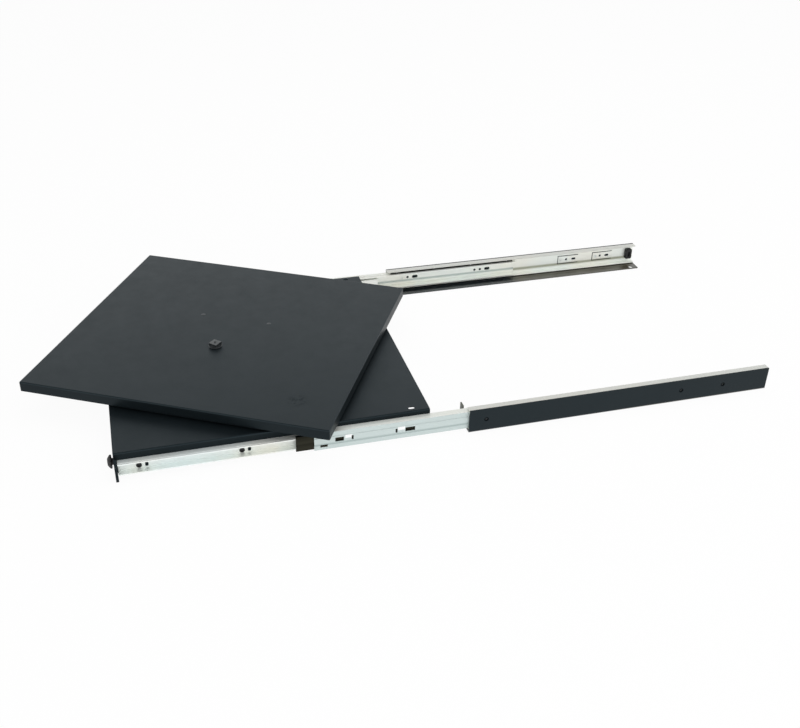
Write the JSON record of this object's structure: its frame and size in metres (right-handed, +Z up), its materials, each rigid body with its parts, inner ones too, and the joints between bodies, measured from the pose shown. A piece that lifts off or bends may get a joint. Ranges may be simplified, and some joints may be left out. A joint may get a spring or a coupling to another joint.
{
  "type": "rotating equipment base",
  "caption": "Slide-out rack base: angle brackets carry telescopic ball slides, a folded pan between them and a skirted turntable that turns on a pivot bearing.",
  "frame": {"origin": "on the floor, in the middle of the four floor bolts of the brackets", "axes": "+Z up, +Y to the rear, +X to the right seen from the front; the base pulls out towards -Y"},
  "size_m": [0.6268, 1.1487, 0.0689],
  "materials": {
    "black_paint": "fine powder coat",
    "zinc": "bright zinc plate",
    "black_steel": "black oxide",
    "black_rubber": "moulded",
    "cage": "yellow passivated strip",
    "ball_steel": "polished",
    "race_steel": "turned",
    "nylon": "natural nylon",
    "black_plastic": "moulded"
  },
  "bodies": {
    "fixed_rails": {"bracket_left": "black_paint", "outer_rail_left": "zinc", "rail_screws_left": "black_steel", "bumper_left": "black_rubber", "bracket_right": "black_paint", "outer_rail_right": "zinc", "rail_screws_right": "black_steel", "bumper_right": "black_rubber"},
    "base": {"base_pan": "black_paint", "inner_rail_left": "zinc", "inner_screws_left": "black_steel", "inner_rail_right": "zinc", "inner_screws_right": "black_steel", "pivot_bolt": "black_steel", "pivot_washer": "zinc", "pivot_nut": "black_steel", "lower_race": "race_steel", "race_rivets": "zinc", "stop_pegs": "zinc"},
    "turntable": {"turntable": "black_paint", "upper_race": "race_steel", "pivot_bush": "nylon", "glide_pad_left": "nylon", "glide_pad_right": "nylon", "glide_rivets": "zinc"},
    "swivel_balls": {"bearing_cage": "nylon", "bearing_balls": "ball_steel"},
    "lock_screw": {"lock_knob": "black_plastic", "lock_stud": "zinc", "lock_retainer": "zinc"},
    "middle_left": {"middle_rail_left": "zinc"},
    "outer_cage_left": {"outer_cage_left": "cage", "outer_balls_left": "ball_steel"},
    "inner_cage_left": {"inner_cage_left": "cage", "inner_balls_left": "ball_steel"},
    "middle_right": {"middle_rail_right": "zinc"},
    "outer_cage_right": {"outer_cage_right": "cage", "outer_balls_right": "ball_steel"},
    "inner_cage_right": {"inner_cage_right": "cage", "inner_balls_right": "ball_steel"}
  },
  "joints": [
    {"name": "base_slide", "type": "slide", "parent": "fixed_rails", "child": "base", "axis": [0, 1, 0], "range_m": [0, 0.5075]},
    {"name": "table_turn", "type": "hinge", "parent": "base", "child": "turntable", "pos_m": [0, -0.5994, 0.062], "axis": [0, 0, 1], "range_deg": [-150.8, 29.2]},
    {"name": "ball_ring_turn", "type": "hinge", "parent": "base", "child": "swivel_balls", "pos_m": [0, -0.5994, 0.05125], "axis": [0, 0, 1], "range_deg": [-75.5, 14.7]},
    {"name": "lock_turn", "type": "hinge", "parent": "base", "child": "lock_screw", "pos_m": [0.21279, -0.7703, 0.022], "axis": [0, 1, 0], "continuous": true},
    {"name": "middle_left_slide", "type": "slide", "parent": "fixed_rails", "child": "middle_left", "axis": [0, 1, 0], "range_m": [0, 0.2365]},
    {"name": "outer_cage_left_slide", "type": "slide", "parent": "fixed_rails", "child": "outer_cage_left", "axis": [0, 1, 0], "range_m": [0, 0.1185]},
    {"name": "inner_cage_left_slide", "type": "slide", "parent": "fixed_rails", "child": "inner_cage_left", "axis": [0, 1, 0], "range_m": [0, 0.37225]},
    {"name": "middle_right_slide", "type": "slide", "parent": "fixed_rails", "child": "middle_right", "axis": [0, 1, 0], "range_m": [0, 0.2365]},
    {"name": "outer_cage_right_slide", "type": "slide", "parent": "fixed_rails", "child": "outer_cage_right", "axis": [0, 1, 0], "range_m": [0, 0.1185]},
    {"name": "inner_cage_right_slide", "type": "slide", "parent": "fixed_rails", "child": "inner_cage_right", "axis": [0, 1, 0], "range_m": [0, 0.37225]}
  ],
  "couplings": [
    {"joint": "ball_ring_turn", "follows": "table_turn", "ratio": 0.5},
    {"joint": "middle_left_slide", "follows": "base_slide", "ratio": 0.46503},
    {"joint": "outer_cage_left_slide", "follows": "base_slide", "ratio": 0.23251},
    {"joint": "inner_cage_left_slide", "follows": "base_slide", "ratio": 0.73251},
    {"joint": "middle_right_slide", "follows": "base_slide", "ratio": 0.46503},
    {"joint": "outer_cage_right_slide", "follows": "base_slide", "ratio": 0.23251},
    {"joint": "inner_cage_right_slide", "follows": "base_slide", "ratio": 0.73251}
  ]
}
